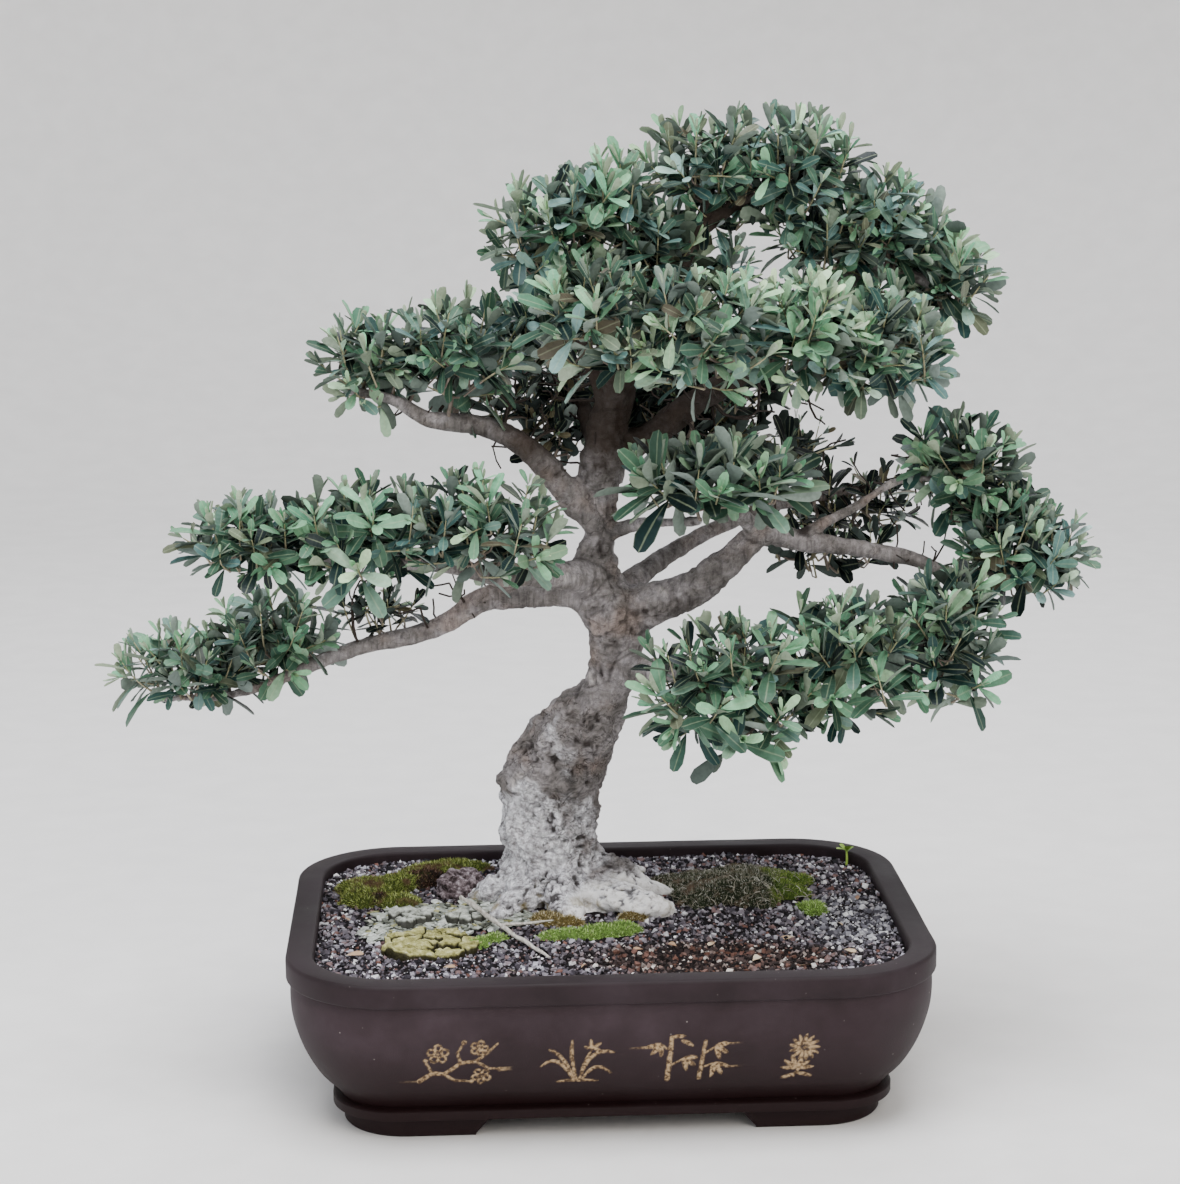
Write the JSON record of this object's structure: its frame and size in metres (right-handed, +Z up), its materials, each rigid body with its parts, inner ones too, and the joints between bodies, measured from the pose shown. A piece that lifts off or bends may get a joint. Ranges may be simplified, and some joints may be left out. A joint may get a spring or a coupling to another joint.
{
  "type": "potted olive bonsai",
  "caption": "Small old olive tree with a gnarled leaning trunk and layered leafy branches, rooted in grit and moss in a footed rectangular clay pot with rounded corners.",
  "frame": {"origin": "middle of the pot's base, on the surface that its feet stand on", "axes": "+Z up, -Y towards the pot's decorated front, +X to the right as seen from the front"},
  "size_m": [0.6194, 0.3, 0.6162],
  "materials": {
    "clay": "satin",
    "screen": "matte",
    "soil": "matte",
    "bark": "matte",
    "leaf": "satin",
    "moss": "matte",
    "moss_bright": "matte",
    "tuff": "matte",
    "crust": "matte",
    "chip": "matte",
    "dead_wood": "matte",
    "sprout": "satin"
  },
  "bodies": {
    "root": {"pot": "clay", "drain_screen_left": "screen", "drain_screen_right": "screen", "soil": "soil", "tree_wood": "bark", "foliage_left_low": "leaf", "foliage_left_mid": "leaf", "foliage_left_upper": "leaf", "foliage_top_left": "leaf", "foliage_apex": "leaf", "foliage_top_right": "leaf", "foliage_heart": "leaf", "foliage_heart_right": "leaf", "foliage_inner_centre": "leaf", "foliage_right_shoulder": "leaf", "foliage_right_tip": "leaf", "foliage_low_right": "leaf", "foliage_low_back": "leaf", "foliage_back_centre": "leaf", "foliage_back_left": "leaf", "foliage_back_top": "leaf", "foliage_back_right": "leaf", "foliage_back_inner": "leaf", "moss_left_back": "moss", "moss_left_rear": "moss", "moss_right_mound": "moss", "moss_right_small": "moss_bright", "moss_front_strip": "moss_bright", "moss_front_dot": "moss_bright", "tuff_lump": "tuff", "lichen_crust": "crust", "lichen_chip_rear": "chip", "lichen_chip_side": "chip", "dead_twig": "dead_wood", "weed_sprout": "sprout"}
  },
  "joints": []
}
